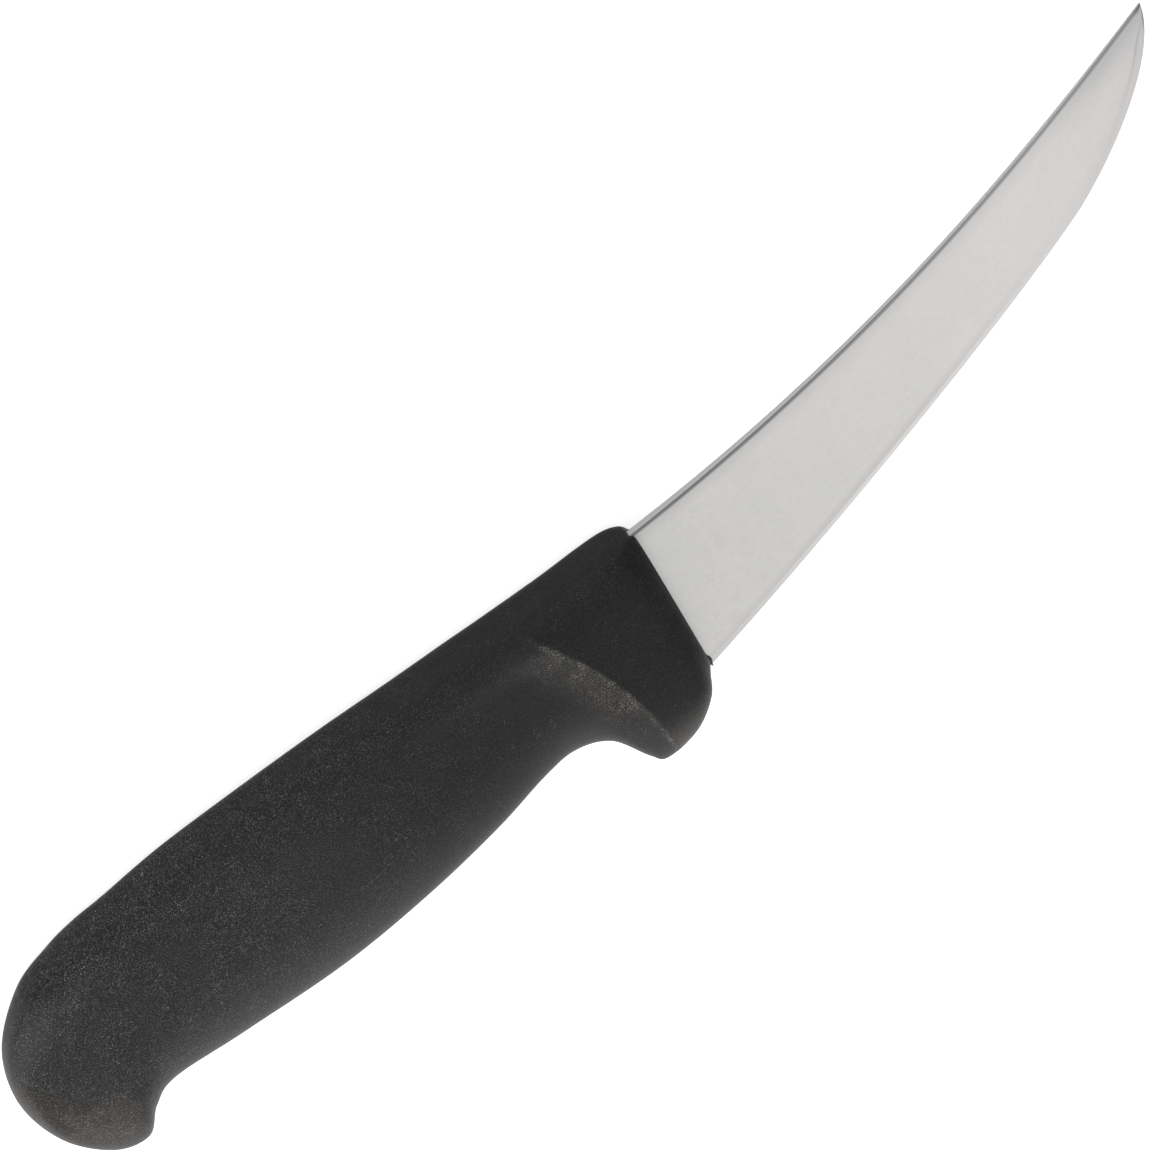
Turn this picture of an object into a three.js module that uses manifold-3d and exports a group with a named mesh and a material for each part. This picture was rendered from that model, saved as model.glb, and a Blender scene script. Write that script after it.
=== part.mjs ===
// Boning knife: a curved blade whose tang is hidden in a one-piece moulded handle.
//
// Millimetres. The knife lies on its side: +X runs along the handle's back to the blade's tip,
// +Y from the cutting edge to the spine, and +Z up, square to the blade. While it is built, X is
// zero at the front of the handle, Y at the line of its back, and Z at the blade's middle plane.

import * as THREE from 'three';
import { mergeVertices } from 'three/addons/utils/BufferGeometryUtils.js';
import Module from 'manifold-3d';

const wasm = await Module();
wasm.setup();

const point = (x, y, z = 0) => new THREE.Vector3(x, y, z);

// ---- Blade ----

const TIP = point(115.1, 25.95);
const SPINE_ROOT = point(0, 0.4);
const SPINE_PULLS = [point(54.6, 3.6), point(93.5, 18.1)]; // control points between root and tip
const HEEL = point(-1.6, -28);
const BELLY = point(88, 1.1); // where the straight part of the edge begins to sweep up
const EDGE_PULLS = [point(28.7, -20.2), point(69.6, -6.9)]; // between heel and belly
const SWEEP_PULLS = [point(95.4, 4.3), point(113.7, 15.8)]; // between belly and tip
const ROOT_HALF_THICKNESS = 1.05; // at the spine, where the blade leaves the handle
const THINNING_TO_TIP = 0.0107; // loss of half thickness for each millimetre along X
const THINNING_TO_EDGE = 0.031; // and for each millimetre from the spine to the edge
const TIP_TAPER = { from: 78, loss: 0.3 }; // more loss of half thickness, which grows to the tip
const BEVEL_WIDTH = 0.9; // of the sharpened strip along the edge
const RICASSO = 4; // how far the full-width blade goes on inside the handle
const SLOPE_IN_HANDLE = { spine: 0.06, edge: 0.22 };
const BLADE_SECTIONS = 44;

// ---- Tang, hidden in the handle ----

const TANG_HALF_THICKNESS = 1.05;
const TANG_HALF_WIDTH = { front: 6.5, rear: 4.5 };
const TANG_AXIS = { front: point(-3, -11), rear: point(-96, -14.5) };
const TANG_HOLE_RADIUS = 2.6;
const TANG_HOLES_X = [-24, -52, -80];
const GAP = 0.3; // all round the tang and the plugs, so that the two solids stay apart
const HOLE_SIDES = 16;
const MOUTH = { // corners about the full-width end of the blade, from in the handle to before it
  spine: { rear: point(-4, 0.1), front: point(2, 0.6) },
  edge: { rear: point(-5.6, -29), front: point(2, -27.3) },
};

// ---- Handle ----

// Each station is a section across the handle, from the butt to the front: a point on its back,
// the point across from it on its belly, the half width there, and how square the section's back
// and belly are (2 is an ellipse, and more is squarer).
const STATIONS = [
  { back: [-134.6, -21.5], belly: [-134.6, -21.5], half: 0, square: [2.3, 2.1] },
  { back: [-131.9, -12.7], belly: [-132.1, -30.6], half: 7.6, square: [2.5, 2.1] },
  { back: [-124, -5.5], belly: [-126.5, -37.4], half: 9.9, square: [3, 2.1] },
  { back: [-116, -3.1], belly: [-120.6, -38.9], half: 10.6, square: [3.8, 2.1] },
  { back: [-110, -2.3], belly: [-116.6, -34.9], half: 10.6, square: [4.4, 2.1] },
  { back: [-104, -2], belly: [-111.5, -32.6], half: 10.4, square: [5, 2.1] },
  { back: [-92, -0.6], belly: [-98, -33.2], half: 10, square: [5.4, 2.1] },
  { back: [-76, 0.1], belly: [-78, -33.6], half: 9.8, square: [5.4, 2.1] },
  { back: [-60, 0.4], belly: [-60, -31.9], half: 9.7, square: [5.4, 2.1] },
  { back: [-46, 0.3], belly: [-45, -29.3], half: 9.6, square: [5.4, 2.1] },
  { back: [-36, 0.3], belly: [-34, -26.4], half: 9.5, square: [5.4, 2.2] },
  { back: [-29, 0.2], belly: [-27.5, -25.6], half: 9.5, square: [5.4, 2.3] },
  { back: [-24, 0.2], belly: [-21.9, -28], half: 9.5, square: [5.4, 2.4] },
  { back: [-20, 0.4], belly: [-18.2, -34.3], half: 9.3, square: [5.4, 2.5] },
  { back: [-15, 0.7], belly: [-16, -36.5], half: 8.8, square: [5.4, 2.5] },
  { back: [-9, 1.2], belly: [-9.5, -35.5], half: 8.1, square: [5.4, 2.5] },
  { back: [-4, 1.4], belly: [-4.7, -32], half: 7.4, square: [5, 2.7] },
  { back: [-1.2, 0.8], belly: [-2.5, -28.1], half: 6.6, square: [4.4, 3] },
  { back: [0, -0.5], belly: [-1.6, -26.4], half: 5.8, square: [4, 3.4] },
];
const SECTIONS_PER_STATION = 3;
const POINTS_PER_QUARTER = 12;

// The scoop for the finger lies behind a ridge, which is an arc on each side. The side drops from
// the ridge over the width of its wall, and rises again over a long run. Near the back it fades.
const RIDGE = { centre: point(-70.6, -33), radius: 57 };
const SCOOP = { depth: 1.3, wall: 8.5, run: 44, fadeFrom: -7, fadeTo: 2 };

// ---- Curves and solids ----

/** Uniform Catmull-Rom value between b and c. */
function catmull(a, b, c, d, f) {
  const linear = c - a;
  const square = 2 * a - 5 * b + 4 * c - d;
  const cube = 3 * b - a - 3 * c + d;
  return 0.5 * (2 * b + linear * f + square * f * f + cube * f * f * f);
}

/** A closed body skinned over rings of points, from the rear to the front. Seen from the front,
    each ring goes round counter-clockwise. An end ring may shrink to one point; any other end is
    closed by a fan about its middle. */
function skin(rings) {
  const sides = rings[0].length;
  const points = rings.flat();
  const index = [];
  for (let ring = 0; ring < rings.length - 1; ring++) {
    for (let side = 0; side < sides; side++) {
      const a = ring * sides + side;
      const b = ring * sides + ((side + 1) % sides);
      index.push(a, b, a + sides, b, b + sides, a + sides);
    }
  }
  for (const [ring, facesBack] of [[0, true], [rings.length - 1, false]]) {
    const middle = points.length;
    const centre = rings[ring].reduce((sum, p) => sum.add(p), point(0, 0)).divideScalar(sides);
    points.push(centre);
    for (let side = 0; side < sides; side++) {
      const a = ring * sides + side;
      const b = ring * sides + ((side + 1) % sides);
      if (facesBack) index.push(middle, b, a);
      else index.push(middle, a, b);
    }
  }
  const geometry = new THREE.BufferGeometry().setFromPoints(points);
  geometry.setIndex(index);
  return welded(geometry);
}

/** The geometry with only its positions, its shared corners joined and empty triangles left out. */
function welded(geometry) {
  geometry.deleteAttribute('normal');
  geometry.deleteAttribute('uv');
  const merged = mergeVertices(geometry, 1e-4);
  const old = merged.index.array;
  const kept = [];
  for (let i = 0; i < old.length; i += 3) {
    const [a, b, c] = [old[i], old[i + 1], old[i + 2]];
    if (a !== b && b !== c && c !== a) kept.push(a, b, c);
  }
  merged.setIndex(kept);
  return merged;
}

function toSolid(geometry) {
  const { position } = geometry.attributes;
  return new wasm.Manifold(new wasm.Mesh({
    numProp: 3,
    vertProperties: new Float32Array(position.array),
    triVerts: new Uint32Array(geometry.index.array),
  }));
}

function toGeometry(solid) {
  const { vertProperties, triVerts } = solid.getMesh();
  const geometry = new THREE.BufferGeometry();
  geometry.setAttribute('position', new THREE.BufferAttribute(new Float32Array(vertProperties), 3));
  geometry.setIndex(Array.from(triVerts));
  return geometry;
}

/** A flat shape pulled out to both sides of the blade's middle plane. */
function slab(shape, halfThickness) {
  const options = { depth: 2 * halfThickness, bevelEnabled: false, curveSegments: HOLE_SIDES / 2 };
  const geometry = new THREE.ExtrudeGeometry(shape, options);
  geometry.translate(0, 0, -halfThickness);
  return toSolid(welded(geometry));
}

// ---- Blade and tang ----

function spineCurve() {
  const curve = new THREE.CurvePath();
  const rootStart = point(-RICASSO, SPINE_ROOT.y - SLOPE_IN_HANDLE.spine * RICASSO);
  curve.add(new THREE.LineCurve3(rootStart, SPINE_ROOT));
  curve.add(new THREE.CubicBezierCurve3(SPINE_ROOT, ...SPINE_PULLS, TIP));
  return curve;
}

function edgeCurve() {
  const curve = new THREE.CurvePath();
  const rootStart = point(HEEL.x - RICASSO, HEEL.y - SLOPE_IN_HANDLE.edge * RICASSO);
  curve.add(new THREE.LineCurve3(rootStart, HEEL));
  curve.add(new THREE.CubicBezierCurve3(HEEL, ...EDGE_PULLS, BELLY));
  curve.add(new THREE.CubicBezierCurve3(BELLY, ...SWEEP_PULLS, TIP));
  return curve;
}

/** Half thickness of the blade, whose flanks are flat but for a taper by the tip. */
function flankHeight({ x, y }) {
  const taper = Math.max(0, (x - TIP_TAPER.from) / (TIP.x - TIP_TAPER.from)) ** 2 * TIP_TAPER.loss;
  return ROOT_HALF_THICKNESS - THINNING_TO_TIP * x + THINNING_TO_EDGE * (y - SPINE_ROOT.y) - taper;
}

function bladeSolid() {
  const spine = spineCurve();
  const edge = edgeCurve();
  const rings = [];
  for (let i = 0; i <= BLADE_SECTIONS; i++) {
    const back = spine.getPointAt(i / BLADE_SECTIONS);
    const cut = edge.getPointAt(i / BLADE_SECTIONS);
    const width = back.distanceTo(cut);
    const bevel = Math.min(BEVEL_WIDTH, 0.4 * width);
    const shoulder = cut.clone().lerp(back, bevel / Math.max(width, BEVEL_WIDTH));
    const raised = (p, side) => point(p.x, p.y, i === BLADE_SECTIONS ? 0 : side * flankHeight(p));
    rings.push([raised(back, 1), raised(shoulder, 1), cut, raised(shoulder, -1), raised(back, -1)]);
  }
  return toSolid(skin(rings));
}

/** The tang's outline, grown by a margin, with its holes shrunk by the same. */
function tangShape(margin) {
  const { front, rear } = TANG_AXIS;
  const wide = TANG_HALF_WIDTH.front + margin;
  const narrow = TANG_HALF_WIDTH.rear + margin;
  const shape = new THREE.Shape();
  shape.moveTo(front.x, front.y + wide);
  shape.lineTo(rear.x, rear.y + narrow);
  shape.absarc(rear.x, rear.y, narrow, Math.PI / 2, 1.5 * Math.PI, false);
  shape.lineTo(front.x, front.y - wide);
  shape.closePath();
  for (const x of TANG_HOLES_X) {
    const along = (x - front.x) / (rear.x - front.x);
    const hole = new THREE.Path();
    hole.absarc(x, front.y + along * (rear.y - front.y), TANG_HOLE_RADIUS - margin, 0, 2 * Math.PI);
    shape.holes.push(hole);
  }
  return shape;
}

/** The full-width end of the blade inside the handle, grown by a margin and open to the front. */
function mouthShape(margin) {
  const { spine, edge } = MOUTH;
  const shape = new THREE.Shape();
  shape.moveTo(spine.rear.x - margin, spine.rear.y + margin);
  shape.lineTo(spine.front.x, spine.front.y + margin);
  shape.lineTo(edge.front.x, edge.front.y - margin);
  shape.lineTo(edge.rear.x - margin, edge.rear.y - margin);
  shape.closePath();
  return shape;
}

// ---- Handle ----

/** The station's numbers in one list, for interpolation. */
function asNumbers({ back, belly, half, square }) {
  return [...back, ...belly, half, ...square];
}

/** Sections between the stations. The list goes on past the butt as its mirror image, so that the
    butt is round, and past the front in a straight line. */
function handleSections() {
  const rows = STATIONS.map(asNumbers);
  const [backX, backY, bellyX, bellyY, half, squareBack, squareBelly] = rows[1];
  const beyondButt = [bellyX, bellyY, backX, backY, -half, squareBack, squareBelly];
  const last = rows[rows.length - 1];
  const beyondFront = last.map((value, k) => 2 * value - rows[rows.length - 2][k]);
  const all = [beyondButt, ...rows, beyondFront];
  const sections = [];
  const count = (rows.length - 1) * SECTIONS_PER_STATION;
  for (let i = 0; i <= count; i++) {
    const start = Math.min(Math.floor(i / SECTIONS_PER_STATION), rows.length - 2);
    const f = i / SECTIONS_PER_STATION - start;
    sections.push(rows[0].map((_, k) => (
      catmull(all[start][k], all[start + 1][k], all[start + 2][k], all[start + 3][k], f))));
  }
  return sections;
}

/** How far the side sinks at a point, behind the ridge in front of the finger scoop. */
function scoopDepth(x, y) {
  const { smoothstep, clamp } = THREE.MathUtils;
  const reach = Math.sqrt(RIDGE.radius ** 2 - (y - RIDGE.centre.y) ** 2);
  const toRidge = RIDGE.centre.x + reach - x;
  const downWall = clamp((toRidge * reach) / RIDGE.radius / SCOOP.wall, 0, 1);
  const falls = 1 - (1 - downWall) ** 2;
  const rises = smoothstep(toRidge, SCOOP.wall, SCOOP.wall + SCOOP.run);
  const fades = smoothstep(y, SCOOP.fadeFrom, SCOOP.fadeTo);
  return SCOOP.depth * falls * (1 - rises) * (1 - fades);
}

/** Points at equal steps along a quarter of a superellipse, from its side up to its top. */
function quarter(halfWidth, halfHeight, square) {
  const steps = 12 * POINTS_PER_QUARTER;
  const line = [];
  for (let i = 0; i <= steps; i++) {
    const angle = (i / steps) * (Math.PI / 2);
    const side = halfWidth * Math.cos(angle) ** (2 / square);
    line.push(new THREE.Vector2(i === steps ? 0 : side, halfHeight * Math.sin(angle) ** (2 / square)));
  }
  const path = new THREE.CurvePath();
  for (let i = 0; i < steps; i++) path.add(new THREE.LineCurve(line[i], line[i + 1]));
  return path.getSpacedPoints(POINTS_PER_QUARTER);
}

function handleRing([backX, backY, bellyX, bellyY, half, squareBack, squareBelly]) {
  const halfHeight = Math.hypot(backX - bellyX, backY - bellyY) / 2;
  if (halfHeight === 0) return new Array(4 * POINTS_PER_QUARTER).fill(point(backX, backY));
  const upper = quarter(half, halfHeight, squareBack);
  const lower = quarter(half, halfHeight, squareBelly);
  // From the near side down to the belly, up the far side to the back, and down to the near side.
  const loop = [
    ...lower.slice(0, -1).map((p) => [p.x, -p.y]),
    ...lower.slice(1).reverse().map((p) => [-p.x, -p.y]),
    ...upper.slice(0, -1).map((p) => [-p.x, p.y]),
    ...upper.slice(1).reverse().map((p) => [p.x, p.y]),
  ];
  return loop.map(([side, height]) => {
    const share = (height / halfHeight + 1) / 2;
    const x = THREE.MathUtils.lerp(bellyX, backX, share);
    const y = THREE.MathUtils.lerp(bellyY, backY, share);
    return point(x, y, side * (1 - scoopDepth(x, y) / half));
  });
}

// ---- The object ----

const tang = slab(tangShape(0), TANG_HALF_THICKNESS);
const bladeAndTang = bladeSolid().add(tang);

const pocketHalfThickness = TANG_HALF_THICKNESS + GAP;
const pocket = slab(tangShape(GAP), pocketHalfThickness)
  .add(slab(mouthShape(GAP), pocketHalfThickness));
const moulding = toSolid(skin(handleSections().map(handleRing))).subtract(pocket);

const steel = new THREE.MeshStandardMaterial({ color: 0xc9c8c6, roughness: 0.32, metalness: 1 });
const plastic = new THREE.MeshStandardMaterial({ color: 0x323231, roughness: 0.72, metalness: 0 });

const blade = new THREE.Mesh(toGeometry(bladeAndTang), steel);
blade.name = 'blade';
const handle = new THREE.Mesh(toGeometry(moulding), plastic);
handle.name = 'handle';

const knife = new THREE.Group();
knife.add(blade, handle);

// The knife's origin is under the middle of its box, on the surface that it lies on.
const box = new THREE.Box3().setFromObject(knife);
const middle = box.getCenter(point(0, 0));
knife.position.set(-middle.x, -middle.y, -box.min.z);
knife.updateMatrixWorld(true);

export default knife;
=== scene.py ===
"""A curved boning knife on a pale floor: a satin blade in a one-piece moulded handle.

The shapes are worked out in millimetres in the design frame of the part: X is zero at the front of
the handle and runs to the tip, Y is zero at the line of its back and runs to the spine, and Z is
zero at the blade's middle plane. to_row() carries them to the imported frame, in metres."""

import math

import bmesh
import bpy
import numpy as np
from mathutils import Matrix, Vector


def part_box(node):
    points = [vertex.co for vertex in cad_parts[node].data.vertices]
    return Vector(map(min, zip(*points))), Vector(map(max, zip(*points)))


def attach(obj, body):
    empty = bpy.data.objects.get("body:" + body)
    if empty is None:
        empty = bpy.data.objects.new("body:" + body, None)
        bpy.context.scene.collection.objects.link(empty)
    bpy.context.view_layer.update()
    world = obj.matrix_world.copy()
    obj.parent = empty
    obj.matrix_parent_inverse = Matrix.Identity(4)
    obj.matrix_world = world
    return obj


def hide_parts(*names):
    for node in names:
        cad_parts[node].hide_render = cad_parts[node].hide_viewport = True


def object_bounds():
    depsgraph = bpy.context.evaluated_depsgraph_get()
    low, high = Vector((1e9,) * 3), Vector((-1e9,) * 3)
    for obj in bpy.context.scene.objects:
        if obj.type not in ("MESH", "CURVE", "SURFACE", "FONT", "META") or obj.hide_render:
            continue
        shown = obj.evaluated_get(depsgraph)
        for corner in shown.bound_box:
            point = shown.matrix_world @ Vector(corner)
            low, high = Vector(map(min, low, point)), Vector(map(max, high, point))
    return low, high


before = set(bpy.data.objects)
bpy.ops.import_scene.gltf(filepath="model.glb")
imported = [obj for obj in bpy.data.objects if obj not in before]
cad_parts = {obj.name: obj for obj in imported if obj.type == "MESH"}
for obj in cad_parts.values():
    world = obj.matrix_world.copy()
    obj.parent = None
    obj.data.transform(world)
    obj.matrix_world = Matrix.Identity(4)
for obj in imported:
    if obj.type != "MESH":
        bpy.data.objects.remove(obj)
cad_low, cad_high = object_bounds()

MM = 0.001
SMALLEST_GAP = 1e-6  # millimetres between two points that count as one
WELD_DISTANCE = 1e-7  # metres

# ---- Driving dimensions, the same as the part's ----

TIP = (115.1, 25.95)
SPINE_ROOT = (0, 0.4)
SPINE_PULLS = ((54.6, 3.6), (93.5, 18.1))
HEEL = (-1.6, -28)
BELLY = (88, 1.1)
EDGE_PULLS = ((28.7, -20.2), (69.6, -6.9), (95.4, 4.3), (113.7, 15.8))
SPINE_SLOPE_IN_HANDLE, EDGE_SLOPE_IN_HANDLE = 0.06, 0.22
RICASSO = 4
ROOT_HALF_THICKNESS = 1.05
THINNING_TO_TIP = 0.0107
THINNING_TO_EDGE = 0.031
TIP_TAPER_FROM, TIP_TAPER = 78, 0.3

TANG_HALF_THICKNESS = 1.05
TANG_FRONT, TANG_REAR = (-3, -11), (-96, -14.5)
TANG_HALF_WIDTH_FRONT, TANG_HALF_WIDTH_REAR = 6.5, 4.5
TANG_HOLES_X = (-24, -52, -80)
TANG_HOLE_RADIUS = 2.6
HOLE_SIDES, TANG_END_POINTS = 32, 25

# Sections of the handle from the butt to the front: back x, y, belly x, y, half width, and how
# square the back and the belly are.
STATIONS = (
    (-134.6, -21.5, -134.6, -21.5, 0, 2.3, 2.1),
    (-131.9, -12.7, -132.1, -30.6, 7.6, 2.5, 2.1),
    (-124, -5.5, -126.5, -37.4, 9.9, 3, 2.1),
    (-116, -3.1, -120.6, -38.9, 10.6, 3.8, 2.1),
    (-110, -2.3, -116.6, -34.9, 10.6, 4.4, 2.1),
    (-104, -2, -111.5, -32.6, 10.4, 5, 2.1),
    (-92, -0.6, -98, -33.2, 10, 5.4, 2.1),
    (-76, 0.1, -78, -33.6, 9.8, 5.4, 2.1),
    (-60, 0.4, -60, -31.9, 9.7, 5.4, 2.1),
    (-46, 0.3, -45, -29.3, 9.6, 5.4, 2.1),
    (-36, 0.3, -34, -26.4, 9.5, 5.4, 2.2),
    (-29, 0.2, -27.5, -25.6, 9.5, 5.4, 2.3),
    (-24, 0.2, -21.9, -28, 9.5, 5.4, 2.4),
    (-20, 0.4, -18.2, -34.3, 9.3, 5.4, 2.5),
    (-15, 0.7, -16, -36.5, 8.8, 5.4, 2.5),
    (-9, 1.2, -9.5, -35.5, 8.1, 5.4, 2.5),
    (-4, 1.4, -4.7, -32, 7.4, 5, 2.7),
    (-1.2, 0.8, -2.5, -28.1, 6.6, 4.4, 3),
    (0, -0.5, -1.6, -26.4, 5.8, 4, 3.4),
)
FRONT_HIGH, FRONT_LOW = STATIONS[-1][:2], STATIONS[-1][2:4]
RIDGE_CENTRE = (-70.6, -33)
RIDGE_RADIUS = 57
SCOOP_DEPTH, SCOOP_WALL, SCOOP_RUN = 1.3, 8.5, 44
SCOOP_FADE_FROM, SCOOP_FADE_TO = -7, 2

blade_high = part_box("blade")[1]
handle_low, handle_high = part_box("handle")
DESIGN_ORIGIN = Vector((
    blade_high.x - TIP[0] * MM,
    blade_high.y - TIP[1] * MM,
    (handle_low.z + handle_high.z) / 2,
))


def to_row(points):
    """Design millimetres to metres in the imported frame."""
    return np.asarray(points, float) * MM + np.array(DESIGN_ORIGIN)


# ---- Curves ----

def smoothstep(value, start, end):
    f = np.clip((value - start) / (end - start), 0, 1)
    return f * f * (3 - 2 * f)


def bezier(start, pull_a, pull_b, end, count=200):
    t = np.linspace(0, 1, count)[:, None]
    a, b, c, d = (np.array(p, float) for p in (start, pull_a, pull_b, end))
    return (1 - t) ** 3 * a + 3 * (1 - t) ** 2 * t * b + 3 * (1 - t) * t * t * c + t ** 3 * d


def even(points, shares):
    """Points at the given shares of a polyline's length."""
    along = np.concatenate([[0], np.cumsum(np.linalg.norm(np.diff(points, axis=0), axis=1))])
    return np.stack([np.interp(shares * along[-1], along, points[:, k]) for k in range(2)], axis=1)


def spine_line():
    root = np.array([[-RICASSO, SPINE_ROOT[1] - SPINE_SLOPE_IN_HANDLE * RICASSO]])
    return np.vstack([root, bezier(SPINE_ROOT, *SPINE_PULLS, TIP)])


def edge_line():
    root = np.array([[HEEL[0] - RICASSO, HEEL[1] - EDGE_SLOPE_IN_HANDLE * RICASSO]])
    lower = bezier(HEEL, EDGE_PULLS[0], EDGE_PULLS[1], BELLY)
    upper = bezier(BELLY, EDGE_PULLS[2], EDGE_PULLS[3], TIP)
    return np.vstack([root, lower, upper[1:]])


def catmull(rows, t):
    """Uniform Catmull-Rom through rows, which has one extra row at each end."""
    i = np.minimum(np.floor(t).astype(int), len(rows) - 4)
    f = (t - i)[:, None]
    a, b, c, d = (rows[i + k] for k in range(4))
    bend = 2 * a - 5 * b + 4 * c - d
    return 0.5 * (2 * b + (c - a) * f + bend * f**2 + (3 * b - a - 3 * c + d) * f**3)


# ---- Meshes ----

def mesh_object(name, points, faces):
    mesh = bpy.data.meshes.new(name)
    mesh.from_pydata(to_row(points).tolist(), [], faces)
    mesh.validate()
    obj = bpy.data.objects.new(name, mesh)
    bpy.context.scene.collection.objects.link(obj)
    return obj


def skin(name, rings):
    """A closed body over rings of points, from the rear to the front, each counter-clockwise as
    seen from the front. A ring that has shrunk to one point becomes a pole."""
    rings = [np.asarray(r, float) for r in rings]
    sides = len(rings[0])
    points, starts, faces = [], [], []
    for ring in rings:
        starts.append(len(points))
        is_pole = np.ptp(ring, axis=0).max() < SMALLEST_GAP
        points.extend(ring[:1] if is_pole else ring)
    starts.append(len(points))

    def index(k, side):
        return starts[k] if starts[k + 1] - starts[k] == 1 else starts[k] + side % sides

    for k in range(len(rings) - 1):
        for side in range(sides):
            loop = [index(k, side), index(k, side + 1), index(k + 1, side + 1), index(k + 1, side)]
            corners = list(dict.fromkeys(loop))
            if len(corners) > 2:
                faces.append(corners)
    if starts[1] - starts[0] > 1:
        faces.append(list(range(starts[0], starts[1]))[::-1])
    if starts[-1] - starts[-2] > 1:
        faces.append(list(range(starts[-2], starts[-1])))
    return mesh_object(name, points, faces)


def slab(name, outline, holes, half_thickness):
    """A flat plate with holes, as a closed mesh about the blade's middle plane."""
    curve = bpy.data.curves.new(name, "CURVE")
    curve.dimensions = "2D"
    curve.fill_mode = "BOTH"
    curve.extrude = half_thickness * MM
    for loop in [outline, *holes]:
        spline = curve.splines.new("POLY")
        spline.points.add(len(loop) - 1)
        for p, (x, y) in zip(spline.points, loop):
            p.co = (x * MM, y * MM, 0, 1)
        spline.use_cyclic_u = True
    shape = bpy.data.objects.new(name + "_curve", curve)
    bpy.context.scene.collection.objects.link(shape)
    graph = bpy.context.evaluated_depsgraph_get()
    mesh = bpy.data.meshes.new_from_object(shape.evaluated_get(graph))
    bpy.data.objects.remove(shape)
    bpy.data.curves.remove(curve)
    mesh.transform(Matrix.Translation(DESIGN_ORIGIN))
    obj = bpy.data.objects.new(name, mesh)
    bpy.context.scene.collection.objects.link(obj)
    weld(obj)
    return obj


def weld(obj):
    """Joins corners that lie together, and points every face outwards."""
    bm = bmesh.new()
    bm.from_mesh(obj.data)
    bmesh.ops.remove_doubles(bm, verts=bm.verts, dist=WELD_DISTANCE)
    bmesh.ops.recalc_face_normals(bm, faces=bm.faces)
    bm.to_mesh(obj.data)
    bm.free()


def combine(obj, other, operation):
    """Joins other to obj or cuts it away, and removes other."""
    change = obj.modifiers.new(operation, "BOOLEAN")
    change.operation = operation
    change.solver = "EXACT"
    change.object = other
    graph = bpy.context.evaluated_depsgraph_get()
    old = obj.data
    obj.data = bpy.data.meshes.new_from_object(obj.evaluated_get(graph))
    obj.modifiers.clear()
    bpy.data.meshes.remove(old)
    bpy.data.objects.remove(other)


def row_points(obj):
    """The object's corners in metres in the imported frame."""
    flat = np.zeros(len(obj.data.vertices) * 3, np.float32)
    obj.data.vertices.foreach_get("co", flat)
    return flat.reshape(-1, 3)


def design_points(obj):
    """The object's corners in design millimetres."""
    return (row_points(obj).astype(float) - np.array(DESIGN_ORIGIN)) / MM


def paint(obj, name, values):
    """Stores a number for each corner, for the material to read."""
    layer = obj.data.attributes.new(name, "FLOAT", "POINT")
    layer.data.foreach_set("value", np.asarray(values, np.float32))


def distance_to(points, line):
    """Each point's distance to a polyline's nearest segment."""
    start, step = line[:-1], np.diff(line, axis=0)
    nearest = np.full(len(points), np.inf)
    for a, d in zip(start, step):
        share = np.clip((points - a) @ d / (d @ d), 0, 1)
        nearest = np.minimum(nearest, np.linalg.norm(points - a - share[:, None] * d, axis=1))
    return nearest


# ---- Blade ----

BLADE_SECTIONS = 260
CORNER_RADIUS = 0.3
CORNER_SHARE_OF_WIDTH, CORNER_SHARE_OF_THICKNESS = 0.2, 0.8  # the most that a corner takes
CORNER_STEPS = 6
FLANK_STEPS = 12
BEVEL_WIDTH = 0.9
BEVEL_WIDTH_AT_TIP = 1.7
BEVEL_SHARE_OF_WIDTH = 0.3  # the most that the strip takes
NARROWEST_BEVEL = 0.02
WIDER_FROM, WIDER_TO = 85, 108
SHOULDER_DEPTH, SHOULDER_THICKNESS = 0.93, 0.965  # of the strip's rounded upper corner
EDGE_HALF_THICKNESS = 0.02
TIP_ROUNDING = 2.5


def flank_height(x, y):
    """Half thickness of the blade, whose flanks are flat but for a taper by the tip."""
    taper = np.maximum(0, (x - TIP_TAPER_FROM) / (TIP[0] - TIP_TAPER_FROM)) ** 2 * TIP_TAPER
    slope = THINNING_TO_EDGE * (y - SPINE_ROOT[1]) - THINNING_TO_TIP * x
    return ROOT_HALF_THICKNESS + slope - taper


def bevel_width(x, blade_width):
    """Width of the sharpened strip, which widens towards the tip and ends there in a point."""
    wide = BEVEL_WIDTH + (BEVEL_WIDTH_AT_TIP - BEVEL_WIDTH) * smoothstep(x, WIDER_FROM, WIDER_TO)
    return np.minimum(wide, blade_width * BEVEL_SHARE_OF_WIDTH)


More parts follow.
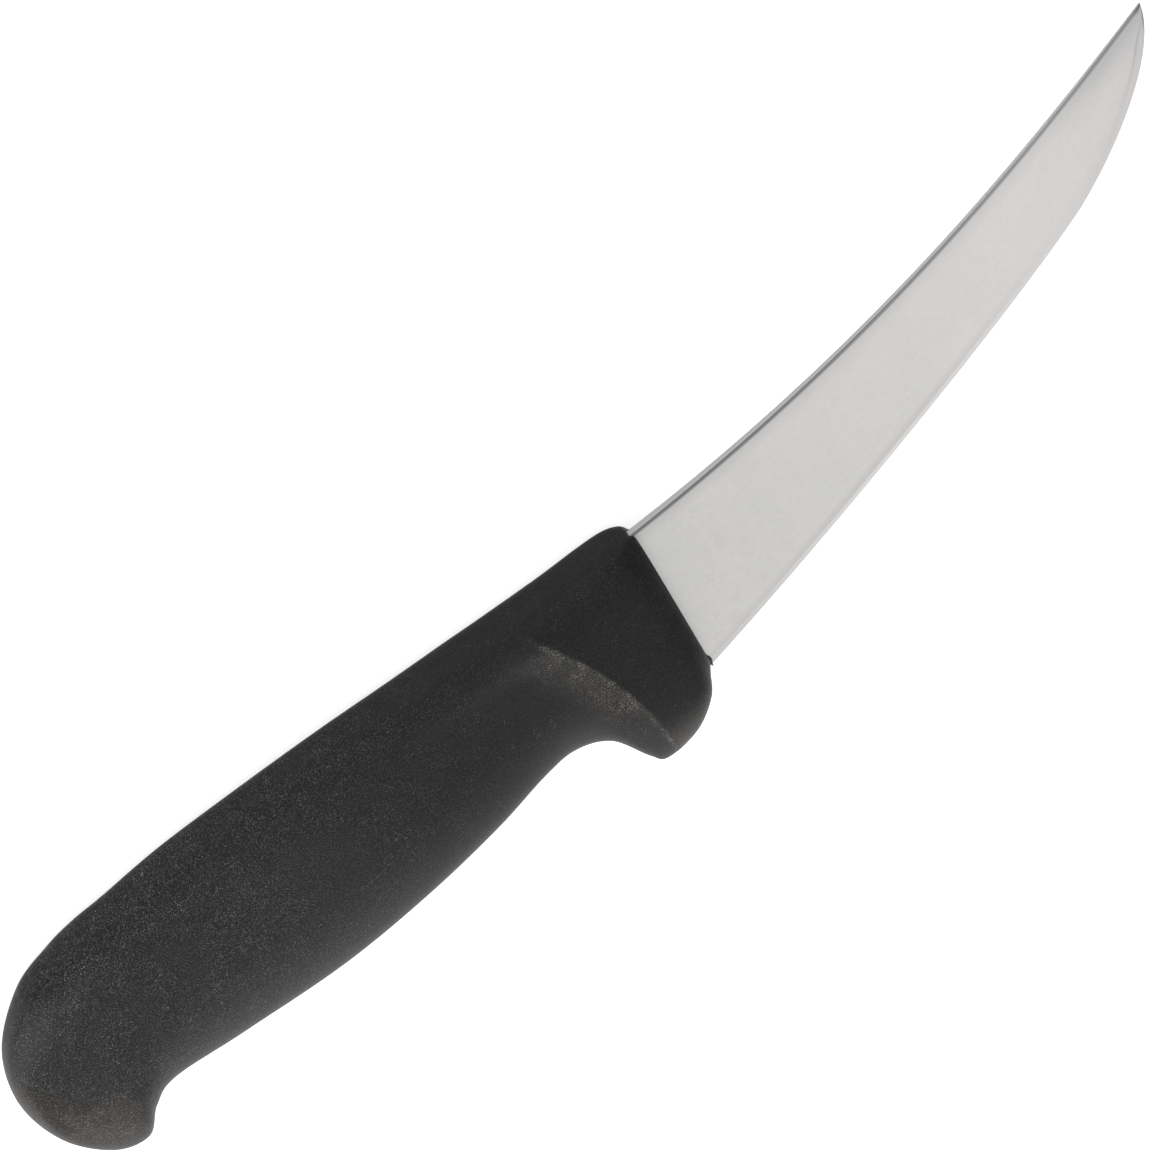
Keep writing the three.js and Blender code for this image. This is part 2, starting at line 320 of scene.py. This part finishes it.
def blade_rings(margin=0.0, last_share=1.0):
    """Sections from the root to the tip, each from the middle of the spine down the near flank to
    the edge and back up the far one. A margin makes the body that cuts the handle's mouth."""
    shares = np.linspace(0, last_share, BLADE_SECTIONS + 1)
    backs, cuts = even(spine_line(), shares), even(edge_line(), shares)
    rings = []
    for back, cut in zip(backs, cuts):
        width = np.linalg.norm(cut - back)
        if width < SMALLEST_GAP:
            rings.append(np.repeat([[*back, 0]], 2 * (CORNER_STEPS + FLANK_STEPS + 3) + 1, axis=0))
            continue
        down = (cut - back) / width
        to_tip = np.linalg.norm(np.array(TIP) - back)
        rounding = math.sqrt(min(1, 1 - (1 - min(1, to_tip / TIP_ROUNDING)) ** 2))
        bevel = float(bevel_width(cut[0], width))
        top = flank_height(*back) * rounding
        radius = min(CORNER_RADIUS, width * CORNER_SHARE_OF_WIDTH, top * CORNER_SHARE_OF_THICKNESS)
        half = []
        for angle in np.linspace(0, math.pi / 2, CORNER_STEPS + 1):
            half.append((radius * (1 - math.cos(angle)), top - radius * (1 - math.sin(angle))))
        for share in np.linspace(0, 1, FLANK_STEPS + 1)[1:]:
            depth = radius + share * (width - bevel - radius)
            half.append((depth, flank_height(*(back + down * depth)) * rounding))
        half.append((width - bevel * SHOULDER_DEPTH, half[-1][1] * SHOULDER_THICKNESS))
        half.append((width, EDGE_HALF_THICKNESS * rounding))
        near = [(0, 0)] + half
        loop = near + [(d, -z) for d, z in half[::-1]]
        ring = []
        for depth, z in loop:
            grown = depth + margin * (2 * depth / width - 1)
            ring.append([*(back + down * grown), z + math.copysign(margin, z) * (z != 0)])
        rings.append(ring)
    return rings


def tang_outline(margin):
    front, rear = TANG_FRONT, TANG_REAR
    wide, narrow = TANG_HALF_WIDTH_FRONT + margin, TANG_HALF_WIDTH_REAR + margin
    arc = [
        (rear[0] + narrow * math.cos(a), rear[1] + narrow * math.sin(a))
        for a in np.linspace(math.pi / 2, 1.5 * math.pi, TANG_END_POINTS)
    ]
    return [(front[0], front[1] + wide), *arc, (front[0], front[1] - wide)]


def turns(count):
    """Angles at equal steps round a circle."""
    return np.linspace(0, 2 * math.pi, count, endpoint=False)


def tang_holes(margin):
    holes = []
    for x in TANG_HOLES_X:
        share = (x - TANG_FRONT[0]) / (TANG_REAR[0] - TANG_FRONT[0])
        y = TANG_FRONT[1] + share * (TANG_REAR[1] - TANG_FRONT[1])
        radius = TANG_HOLE_RADIUS - margin
        holes.append([(x + radius * math.cos(a), y + radius * math.sin(a)) for a in turns(HOLE_SIDES)])
    return holes


def make_blade():
    blade = skin("knife_blade", blade_rings())
    tang = slab("tang", tang_outline(0), tang_holes(0), TANG_HALF_THICKNESS)
    combine(blade, tang, "UNION")
    p = design_points(blade)
    paint(blade, "along", p[:, 0])
    paint(blade, "from_spine", distance_to(p[:, :2], spine_line()))
    shares = np.linspace(0, 1, BLADE_SECTIONS + 1)
    backs, cuts = even(spine_line(), shares), even(edge_line(), shares)
    bevels = bevel_width(cuts[:, 0], np.linalg.norm(cuts - backs, axis=1))
    bevels = np.maximum(np.interp(p[:, 0], cuts[:, 0], bevels), NARROWEST_BEVEL)
    paint(blade, "across_bevel", distance_to(p[:, :2], edge_line()) / bevels)
    paint(blade, "from_far_side", p[:, 2] + flank_height(p[:, 0], p[:, 1]))
    return blade


# ---- Handle ----

SECTIONS_PER_STATION = 14
POINTS_PER_QUARTER = 40
MOUTH_GAP = 0.04
MOUTH_REACH = 0.06  # of the blade's length, from its rear end to just before the handle
BUTT_AXIS = (-0.58, -0.73)  # towards the lower rear of the butt
FLASH_CENTRE = (-1.6, -26.85)
FLASH_LENGTH, FLASH_HALF_WIDTH, FLASH_HALF_THICKNESS = 1.3, 1.15, 1.3
FLASH_RINGS, FLASH_SIDES = 13, 24
FLASH_LUMPS, FLASH_LUMP_RATE = 0.25, 7


def scoop_depth(x, y):
    """How far the side sinks behind the ridge, and the distance behind it."""
    reach = np.sqrt(RIDGE_RADIUS**2 - (y - RIDGE_CENTRE[1]) ** 2)
    to_ridge = RIDGE_CENTRE[0] + reach - x
    behind = to_ridge * reach / RIDGE_RADIUS
    falls = 1 - (1 - np.clip(behind / SCOOP_WALL, 0, 1)) ** 2
    rises = smoothstep(to_ridge, SCOOP_WALL, SCOOP_WALL + SCOOP_RUN)
    fades = smoothstep(y, SCOOP_FADE_FROM, SCOOP_FADE_TO)
    return SCOOP_DEPTH * falls * (1 - rises) * (1 - fades), behind


def quarter(half_width, half_height, square):
    """Points at equal steps along a quarter of a superellipse, from its side up to its top."""
    angle = np.linspace(0, np.pi / 2, 12 * POINTS_PER_QUARTER + 1)
    side = half_width * np.abs(np.cos(angle)) ** (2 / square)
    height = half_height * np.sin(angle) ** (2 / square)
    side[-1] = 0
    return even(np.column_stack([side, height]), np.linspace(0, 1, POINTS_PER_QUARTER + 1))


def handle_rings():
    rows = np.array(STATIONS, float)
    beyond_butt = rows[1][[2, 3, 0, 1, 4, 5, 6]] * [1, 1, 1, 1, -1, 1, 1]
    beyond_front = 2 * rows[-1] - rows[-2]
    t = np.linspace(0, len(rows) - 1, (len(rows) - 1) * SECTIONS_PER_STATION + 1)
    rings = []
    for section in catmull(np.vstack([beyond_butt, rows, beyond_front]), t):
        back, belly, (half, square_back, square_belly) = section[:2], section[2:4], section[4:]
        half_height = np.linalg.norm(back - belly) / 2
        if half_height < SMALLEST_GAP:
            rings.append(np.repeat([[*back, 0]], 4 * POINTS_PER_QUARTER, axis=0))
            continue
        upper = quarter(half, half_height, square_back)
        lower = quarter(half, half_height, square_belly)
        # From the near side to the belly, up the far side to the back, and down to the near side.
        loop = np.vstack([
            lower[:-1] * [1, -1], lower[:0:-1] * [-1, -1], upper[:-1] * [-1, 1], upper[:0:-1],
        ])
        xy = belly + (back - belly) * ((loop[:, 1] / half_height + 1) / 2)[:, None]
        depth, _ = scoop_depth(xy[:, 0], xy[:, 1])
        rings.append(np.column_stack([xy, loop[:, 0] * (1 - depth / half)]))
    return rings


def flash():
    """A small lump of plastic that was squeezed out of the mould by the heel of the blade."""
    turn = turns(FLASH_SIDES)
    rings = []
    for share in np.linspace(-1, 1, FLASH_RINGS):
        lumpy = 1 + FLASH_LUMPS * math.sin(FLASH_LUMP_RATE * share)
        size = math.sqrt(max(0, 1 - share * share)) * lumpy
        x = FLASH_CENTRE[0] + FLASH_LENGTH / 2 * share
        y = FLASH_CENTRE[1] + FLASH_HALF_WIDTH * size * np.cos(turn)
        z = FLASH_HALF_THICKNESS * size * np.sin(turn)
        rings.append(np.column_stack([np.full(FLASH_SIDES, x), y, z]))
    return skin("flash", rings)


def make_handle():
    handle = skin("knife_handle", handle_rings())
    combine(handle, flash(), "UNION")
    mouth = skin("mouth", blade_rings(MOUTH_GAP, MOUTH_REACH))
    pocket = slab("pocket", tang_outline(MOUTH_GAP), tang_holes(MOUTH_GAP),
                  TANG_HALF_THICKNESS + MOUTH_GAP)
    combine(mouth, pocket, "UNION")
    combine(handle, mouth, "DIFFERENCE")
    p = design_points(handle)
    _, behind = scoop_depth(p[:, 0], p[:, 1])
    paint(handle, "along", p[:, 0])
    paint(handle, "behind_ridge", behind)
    paint(handle, "below_back", -p[:, 1])
    paint(handle, "under_butt", p[:, :2] @ np.array(BUTT_AXIS))
    front = np.interp(p[:, 1], [FRONT_LOW[1], FRONT_HIGH[1]], [FRONT_LOW[0], FRONT_HIGH[0]])
    paint(handle, "from_front", front - p[:, 0])
    return handle


# ---- Materials ----

class Nodes:
    """Short calls for building the node tree of a material, or of the world."""

    def __init__(self, name, world=False):
        self.owner = (bpy.data.worlds if world else bpy.data.materials).new(name)
        self.owner.use_nodes = True
        self.tree = self.owner.node_tree
        self.tree.nodes.clear()
        self.shader = self.add("ShaderNodeBackground" if world else "ShaderNodeBsdfPrincipled")
        output = self.add("ShaderNodeOutputWorld" if world else "ShaderNodeOutputMaterial")
        self.link(self.shader.outputs[0], output.inputs["Surface"])

    def add(self, kind, **settings):
        node = self.tree.nodes.new(kind)
        for key, value in settings.items():
            setattr(node, key, value)
        return node

    def link(self, source, target):
        if hasattr(source, "is_output"):
            self.tree.links.new(source, target)
        else:
            target.default_value = source

    def math(self, operation, a, b=0.0, clamp=False):
        node = self.add("ShaderNodeMath", operation=operation, use_clamp=clamp)
        self.link(a, node.inputs[0])
        self.link(b, node.inputs[1])
        return node.outputs[0]

    def product(self, *values):
        result = values[0]
        for value in values[1:]:
            result = self.math("MULTIPLY", result, value)
        return result

    def attribute(self, name):
        return self.add("ShaderNodeAttribute", attribute_name=name).outputs["Fac"]

    def vector(self, x, y, z):
        node = self.add("ShaderNodeCombineXYZ")
        for value, socket in zip((x, y, z), node.inputs):
            self.link(value, socket)
        return node.outputs[0]

    def place(self):
        return self.add("ShaderNodeTexCoord").outputs["Object"]

    def noise(self, vector, scale, detail=2.0, roughness=0.5):
        node = self.add("ShaderNodeTexNoise")
        self.link(vector, node.inputs["Vector"])
        node.inputs["Scale"].default_value = scale
        node.inputs["Detail"].default_value = detail
        node.inputs["Roughness"].default_value = roughness
        return node.outputs["Fac"]

    def specks(self, vector, scale, radius):
        """Sparse round specks, with a radius in parts of the cells that they are strewn in."""
        node = self.add("ShaderNodeTexVoronoi")
        self.link(vector, node.inputs["Vector"])
        node.inputs["Scale"].default_value = scale
        return self.ramp(node.outputs["Distance"], radius * 0.6, radius, 1, 0)

    def ramp(self, value, start, end, low=0.0, high=1.0, smooth=True):
        node = self.add("ShaderNodeMapRange")
        node.interpolation_type = "SMOOTHSTEP" if smooth else "LINEAR"
        self.link(value, node.inputs["Value"])
        node.inputs["From Min"].default_value = start
        node.inputs["From Max"].default_value = end
        node.inputs["To Min"].default_value = low
        node.inputs["To Max"].default_value = high
        return node.outputs["Result"]

    def levels(self, value, stops):
        """The value from -1 to 1 carried to a level, in straight lines between the stops."""
        highest = max(level for _, level in stops)
        node = self.add("ShaderNodeFloatCurve")
        curve = node.mapping.curves[0]
        for _ in range(len(stops) - 2):
            curve.points.new(0.5, 0.5)
        for spot, (place, level) in zip(curve.points, stops):
            spot.location = ((place + 1) / 2, level / highest)
            spot.handle_type = "VECTOR"
        node.mapping.update()
        self.link(self.ramp(value, -1, 1, smooth=False), node.inputs["Value"])
        return self.math("MULTIPLY", node.outputs[0], highest)

    def mix(self, share, a, b):
        node = self.add("ShaderNodeMix", data_type="RGBA")
        self.link(share, node.inputs["Factor"])
        for colour, socket in ((a, node.inputs["A"]), (b, node.inputs["B"])):
            if isinstance(colour, tuple):
                socket.default_value = (*colour, 1)
            else:
                self.link(colour, socket)
        return node.outputs["Result"]

    def bump(self, height, distance, strength=1.0, under=None):
        node = self.add("ShaderNodeBump")
        node.inputs["Distance"].default_value = distance
        node.inputs["Strength"].default_value = strength
        self.link(height, node.inputs["Height"])
        if under is not None:
            self.link(under, node.inputs["Normal"])
        return node.outputs["Normal"]


# Painted light: the flank's steel is darker by the handle and brighter by the tip.
SHADED_STEEL_AT_HANDLE, LIT_STEEL_AT_TIP = (0.676, 0.669, 0.658), (0.92, 0.907, 0.899)
# Painted shade along the spine and by the tip
PAINTED_SHADE_STEEL = (0.45, 0.45, 0.45)
SHOULDER_STEEL = (0.55, 0.54, 0.53)
GROUND_AT_HEEL, GROUND_STEEL = (0.725, 0.715, 0.705), (0.87, 0.85, 0.835)
FINE_EDGE_STEEL = (0.3, 0.3, 0.3)
SPINE_STEEL = (0.86, 0.86, 0.86)
# Painted shade: dark lines along the near and the far corner of the spine
CORNER_SHADE, FAR_CORNER_SHADE = (0.16, 0.16, 0.17), (0.2, 0.2, 0.205)

# The brown film and the brown dust are dust, and under the butt they also stand in for painted light.
BLACK_PLASTIC, BROWN_FILM_AND_LIGHT = (0.0006, 0.0006, 0.0006), (0.2, 0.162, 0.14)
GREY_DUST, BROWN_DUST_AND_LIGHT = (0.2, 0.196, 0.188), (0.26, 0.217, 0.182)
# The guard colour is painted light on the lower guard; the ridge colour is scuffs that also stand in
# for the crest's painted highlight.
GUARD_LIGHT, RIDGE_SCUFF_AND_HIGHLIGHT = (0.2, 0.182, 0.165), (0.2, 0.186, 0.158)
SPECK = (0.16, 0.15, 0.135)
# Painted highlight on the rim of the front
RIM_HIGHLIGHT = (0.04, 0.04, 0.04)


def steel_material():
    """Satin stainless steel, with faint water marks and a brightly ground edge. Painted light makes the
    flank brighter towards the tip, painted shade darkens it along the spine and by the tip, and painted
    dark lines of shade run along the spine's corners."""
    n = Nodes("satin_steel")
    s = n.shader.inputs
    s["Metallic"].default_value = 1.0
    along, from_spine = n.attribute("along"), n.attribute("from_spine")
    across_bevel, from_far_side = n.attribute("across_bevel"), n.attribute("from_far_side")
    place = n.place()
    cloud = n.noise(place, 90, detail=5.0, roughness=0.6)
    speckle = n.noise(place, 1100, detail=3.0, roughness=0.6)
    stretched = n.vector(n.product(along, 0.35), n.product(from_spine, 3.0), 0.0)
    streaks = n.noise(stretched, 1.0, detail=3.0)
    drops = n.ramp(n.noise(place, 420, detail=4.0, roughness=0.65), 0.56, 0.6)
    water = n.product(drops, n.ramp(along, 0, 30, 1, 0.1))

    # The satin flank is a little uneven, and painted light makes it paler towards the tip.
    light_and_tone = n.math("ADD", n.ramp(along, -5, 120, smooth=False), n.ramp(cloud, 0.3, 0.7, -0.07, 0.07))
    light_and_tone = n.math("ADD", light_and_tone, n.ramp(speckle, 0.3, 0.7, -0.05, 0.05))
    light_and_tone = n.math("ADD", light_and_tone, n.ramp(streaks, 0.3, 0.7, -0.03, 0.03))
    light_and_tone = n.math("SUBTRACT", light_and_tone, n.product(water, 0.12))
    colour = n.mix(light_and_tone, SHADED_STEEL_AT_HANDLE, LIT_STEEL_AT_TIP)

    # Painted shade makes it duller along the spine, and most of all by the tip.
    colour = n.mix(n.ramp(from_spine, 0.5, 3.5, 0.17, 0), colour, PAINTED_SHADE_STEEL)
    shade_by_tip = n.product(n.ramp(along, 90, 106), n.ramp(from_spine, 0, 6.5, 0.36, 0))
    colour = n.mix(shade_by_tip, colour, PAINTED_SHADE_STEEL)

    # The sharpened strip, the soft line above it, and the thin dark edge at the very tip
    shoulder = n.product(
        n.ramp(across_bevel, 0.7, 1.0),
        n.ramp(across_bevel, 1.2, 2.7, 1, 0),
        n.ramp(along, 35, 90, 0.45, 0.06),
    )
    colour = n.mix(shoulder, colour, SHOULDER_STEEL)
    ground = n.ramp(n.product(across_bevel, n.ramp(along, 0, 30, 0.78, 1)), 0.45, 0.95, 1, 0)
    colour = n.mix(ground, colour, n.mix(n.ramp(along, 0, 45), GROUND_AT_HEEL, GROUND_STEEL))
    fine_edge = n.product(n.ramp(across_bevel, 0.15, 0.45, 1, 0), n.ramp(along, 112.7, 114.8, 0, 0.75))
    colour = n.mix(fine_edge, colour, FINE_EDGE_STEEL)

    # The bright spine between painted dark lines of shade along its two corners
    corner = n.product(
        n.ramp(from_spine, 0.0, 0.06),
        n.ramp(from_spine, 0.28, 0.85, 1, 0),
        n.ramp(along, 0, 110, 0.88, 0.68),
    )
    colour = n.mix(corner, colour, CORNER_SHADE)
    spine = n.ramp(from_spine, 0.01, 0.05, 1, 0)
    colour = n.mix(spine, colour, SPINE_STEEL)
    # Painted shade along the far corner of the spine
    far_corner_shade = n.product(n.ramp(from_far_side, 0.16, 0.34, 1, 0), n.ramp(from_spine, 0.3, 0.5, 1, 0))
    colour = n.mix(far_corner_shade, colour, FAR_CORNER_SHADE)

    n.link(colour, s["Base Color"])
    rough = n.math("ADD", n.ramp(cloud, 0.3, 0.7, 0.27, 0.3), n.product(ground, 0.25))
    n.link(n.math("ADD", rough, n.product(spine, 0.45)), s["Roughness"])
    n.link(n.bump(streaks, 0.000001, 0.3), s["Normal"])
    return n.owner


def plastic_material():
    """Black plastic with a moulded grain, pale dust in it, and scuffs along the ridge, with painted
    shade on the front, painted light on the lower guard and under the butt, and painted highlights
    along the ridge and the front rim.
    """
    n = Nodes("grained_plastic")
    s = n.shader.inputs
    s["Metallic"].default_value = 0.0
    s["Specular IOR Level"].default_value = 0.4
    along, behind = n.attribute("along"), n.attribute("behind_ridge")
    below_back, under_butt = n.attribute("below_back"), n.attribute("under_butt")
    place = n.place()
    squeezed = n.add("ShaderNodeMapping")
    n.link(place, squeezed.inputs["Vector"])
    squeezed.inputs["Scale"].default_value = (1, 1, 0.5)
    grain = n.noise(squeezed.outputs["Vector"], 5400, detail=2.0, roughness=0.7)
    coarse = n.noise(place, 1500, detail=2.0, roughness=0.6)
    mottle = n.noise(place, 260, detail=4.0, roughness=0.6)

    # Dust sits in the grain: everywhere in thin patches, and thick and brown in the hollow behind the
    # ridge. Less of it towards the front is painted shade on the front, and the thick brown patch under
    # the butt is dust and also a painted pool of light.
    dust_and_front_shade = n.product(n.ramp(along, -110, -15, 0.68, 0.14), n.ramp(mottle, 0.3, 0.7, 0.75, 1.25))
    hollow = n.product(
        n.ramp(behind, -0.3, 1),
        n.ramp(behind, 2, 8, 0.95, 0),
        n.ramp(mottle, 0.35, 0.65, 0.4, 1),
        n.ramp(below_back, 1, 7),
        n.ramp(below_back, 20, 31, 1, 0.25),
    )
    # Dust under the butt, which is also a painted pool of light where the butt faces the light
    butt = n.product(
        n.ramp(under_butt, 86, 92, 0, 0.95),
        n.ramp(under_butt, 94, 100, 1, 0.3),
        n.ramp(mottle, 0.35, 0.6, 0.35, 1),
    )
    brown_dust_and_light = n.math("MAXIMUM", butt, hollow)
    in_grain = n.ramp(grain, 0.54, 0.67, smooth=False)
    # Dust, with painted shade towards the front and painted light under the butt
    dust = n.math("MULTIPLY", n.math("MAXIMUM", dust_and_front_shade, brown_dust_and_light), in_grain, clamp=True)
    film = n.mix(n.product(brown_dust_and_light, 0.07), BLACK_PLASTIC, BROWN_FILM_AND_LIGHT)
    colour = n.mix(dust, film, n.mix(brown_dust_and_light, GREY_DUST, BROWN_DUST_AND_LIGHT))

    # Painted light on the lower guard, scuffs along the crest of the ridge that also stand in for its
    # painted highlight, and sparse specks
    lit_guard = n.product(
        n.ramp(below_back, 27, 35, 0, 0.26),
        n.ramp(behind, -0.8, 0.4, 1, 0),
        n.ramp(grain, 0.35, 0.65, 0.5, 1.5),
    )
    colour = n.mix(lit_guard, colour, GUARD_LIGHT)
    from_crest = n.math("ABSOLUTE", n.math("SUBTRACT", behind, 0.4))
    # Pale scuffs along the crest, which also stand in for its painted highlight
    crest_scuff_and_highlight = n.product(
        n.ramp(from_crest, 0, 0.8, 1, 0),
        n.ramp(below_back, -0.5, 4),
        n.ramp(grain, 0.48, 0.64),
        n.ramp(mottle, 0.42, 0.56, 0.25, 1),
    )
    colour = n.mix(crest_scuff_and_highlight, colour, RIDGE_SCUFF_AND_HIGHLIGHT)
    specks = n.product(n.specks(place, 1250, 0.11), n.ramp(mottle, 0.52, 0.62, 0.06, 1))
    colour = n.mix(specks, colour, SPECK)

    # A painted highlight along the rim of the front, which makes it a little paler
    rim_highlight = n.product(n.ramp(n.attribute("from_front"), 0.1, 0.3, 1, 0), n.ramp(coarse, 0.4, 0.6, 0.3, 1))
    colour = n.mix(n.product(rim_highlight, 0.5), colour, RIM_HIGHLIGHT)

    n.link(colour, s["Base Color"])
    n.link(n.ramp(grain, 0.3, 0.7, 0.36, 0.46), s["Roughness"])
    height = n.math("ADD", n.product(grain, 0.6), n.product(coarse, 0.4))
    n.link(n.bump(height, 0.00009, 1.0), s["Normal"])
    return n.owner


def floor_material():
    n = Nodes("pale_floor")
    s = n.shader.inputs
    s["Base Color"].default_value = (0.93, 0.93, 0.93, 1)
    s["Roughness"].default_value = 0.8
    s["Specular IOR Level"].default_value = 0.1
    s["Emission Color"].default_value = (1, 1, 1, 1)
    s["Emission Strength"].default_value = 0.65
    return n.owner


# ---- Stage ----

CAMERA_TILT = math.radians(27)  # from square-on to the blade's flank towards its spine
CAMERA_ROLL = math.radians(34.95)  # of the handle's back above the picture's horizontal
CAMERA_DISTANCE = 1.5
VIEW_WIDTH = 0.1871  # metres across the picture at the knife
SENSOR = 36.0
FLOOR_REACH = 6.0  # metres from the middle to each side
FILL_PLACE, FILL_SIZE, FILL_WATTS = (-0.4, -0.4, 2.5), 3, 20
SHARP_ANGLE = math.radians(28)
# Levels of the studio's light by direction, from -1 to 1 along X and along Y
SKY_ALONG_X = (
    (-1, 0.75), (-0.6, 0.8), (-0.3, 1.45), (-0.14, 1.05), (0, 0.98), (0.15, 0.95), (0.24, 0.13),
    (0.36, 0.1), (0.6, 0.6), (1, 0.6),
)
SKY_ALONG_Y = ((-1, 1.5), (-0.75, 1.3), (-0.5, 0.85), (0, 0.78), (0.6, 0.8), (1, 0.78))
GROUND_ALONG_X = ((-1, 1.1), (-0.6, 0.95), (-0.3, 0.95), (-0.14, 1), (0, 1), (1, 0.8))
GROUND_ALONG_Y = (
    (-1, 0.95), (-0.3, 0.95), (0.1, 0.27), (0.29, 0.18), (0.45, 0.25), (0.6, 0.34), (0.73, 0.42),
    (0.84, 0.54), (0.92, 0.64), (1, 0.78),
)
LOOK_RIGHT, LOOK_UP = -8.4, -7.6  # millimetres from the design origin to the picture's middle


def make_camera():
    across = Vector((0, math.cos(CAMERA_TILT), -math.sin(CAMERA_TILT)))
    along = Vector((1, 0, 0))
    right = math.cos(CAMERA_ROLL) * along - math.sin(CAMERA_ROLL) * across
    up = math.sin(CAMERA_ROLL) * along + math.cos(CAMERA_ROLL) * across
    back = right.cross(up)
    target = DESIGN_ORIGIN + (right * LOOK_RIGHT + up * LOOK_UP) * MM
    data = bpy.data.cameras.new("camera")
    data.sensor_width = SENSOR
    data.lens = SENSOR * CAMERA_DISTANCE / VIEW_WIDTH
    data.clip_end = 50
    camera = bpy.data.objects.new("camera", data)
    turn = Matrix((right, up, back)).transposed().to_4x4()
    camera.matrix_world = Matrix.Translation(target + back * CAMERA_DISTANCE) @ turn
    bpy.context.scene.collection.objects.link(camera)
    bpy.context.scene.camera = camera


def make_fill_light():
    """A large square light over the knife, aimed at the middle of the floor."""
    data = bpy.data.lights.new("fill", "AREA")
    data.shape = "RECTANGLE"
    data.size = data.size_y = FILL_SIZE
    data.energy = FILL_WATTS
    lamp = bpy.data.objects.new("fill", data)
    lamp.location = FILL_PLACE
    lamp.rotation_mode = "QUATERNION"
    lamp.rotation_quaternion = (-Vector(FILL_PLACE)).to_track_quat("-Z", "Y")
    lamp.visible_glossy = False
    bpy.context.scene.collection.objects.link(lamp)


def make_world():
    """A studio whose light has a level for each direction. Overhead it is bright, but dark in a
    band on the side of the tip. Below the horizon the levels stand for what the floor reflects.
    A white card stands beyond the butt, on the side of the spine."""
    n = Nodes("studio", world=True)
    direction = n.add("ShaderNodeTexCoord").outputs["Generated"]
    split = n.add("ShaderNodeSeparateXYZ")
    n.link(direction, split.inputs[0])
    along_x, along_y, height = split.outputs
    sky = n.product(n.levels(along_x, SKY_ALONG_X), n.levels(along_y, SKY_ALONG_Y))
    ground = n.product(n.levels(along_x, GROUND_ALONG_X), n.levels(along_y, GROUND_ALONG_Y))
    card = n.product(
        n.ramp(along_y, 0, 0.22),
        n.ramp(along_y, 0.48, 0.64, 1, 0),
        n.ramp(along_x, -0.75, -0.3, 1.7, 0),
        n.ramp(height, -0.7, -0.3),
    )
    light = n.mix(n.ramp(height, -0.15, 0.15), ground, sky)
    n.link(n.math("ADD", light, card), n.shader.inputs["Color"])
    bpy.context.scene.world = n.owner


def make_floor():
    mesh = bpy.data.meshes.new("floor")
    corners = [(x * FLOOR_REACH, y * FLOOR_REACH, 0) for x, y in ((-1, -1), (1, -1), (1, 1), (-1, 1))]
    mesh.from_pydata(corners, [], [(0, 1, 2, 3)])
    floor = bpy.data.objects.new("floor", mesh)
    floor.location.z = cad_low.z
    mesh.materials.append(floor_material())
    floor.visible_glossy = False
    bpy.context.scene.collection.objects.link(floor)


def keep_inside(obj, node):
    """Holds the mesh, which is finer than the part's, within the box of the part's own body."""
    low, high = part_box(node)
    points = np.clip(row_points(obj), np.array(low), np.array(high))
    obj.data.vertices.foreach_set("co", points.astype(np.float32).ravel())
    obj.data.update()


def finish_piece(obj, node, material):
    keep_inside(obj, node)
    obj.data.materials.clear()
    obj.data.materials.append(material)
    for face in obj.data.polygons:
        face.use_smooth = True
        face.material_index = 0
    obj.data.set_sharp_from_angle(angle=SHARP_ANGLE)
    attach(obj, "root")
    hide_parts(node)


make_camera()
make_world()
make_floor()
make_fill_light()
bpy.context.scene.view_settings.view_transform = "Standard"

finish_piece(make_blade(), "blade", steel_material())
finish_piece(make_handle(), "handle", plastic_material())
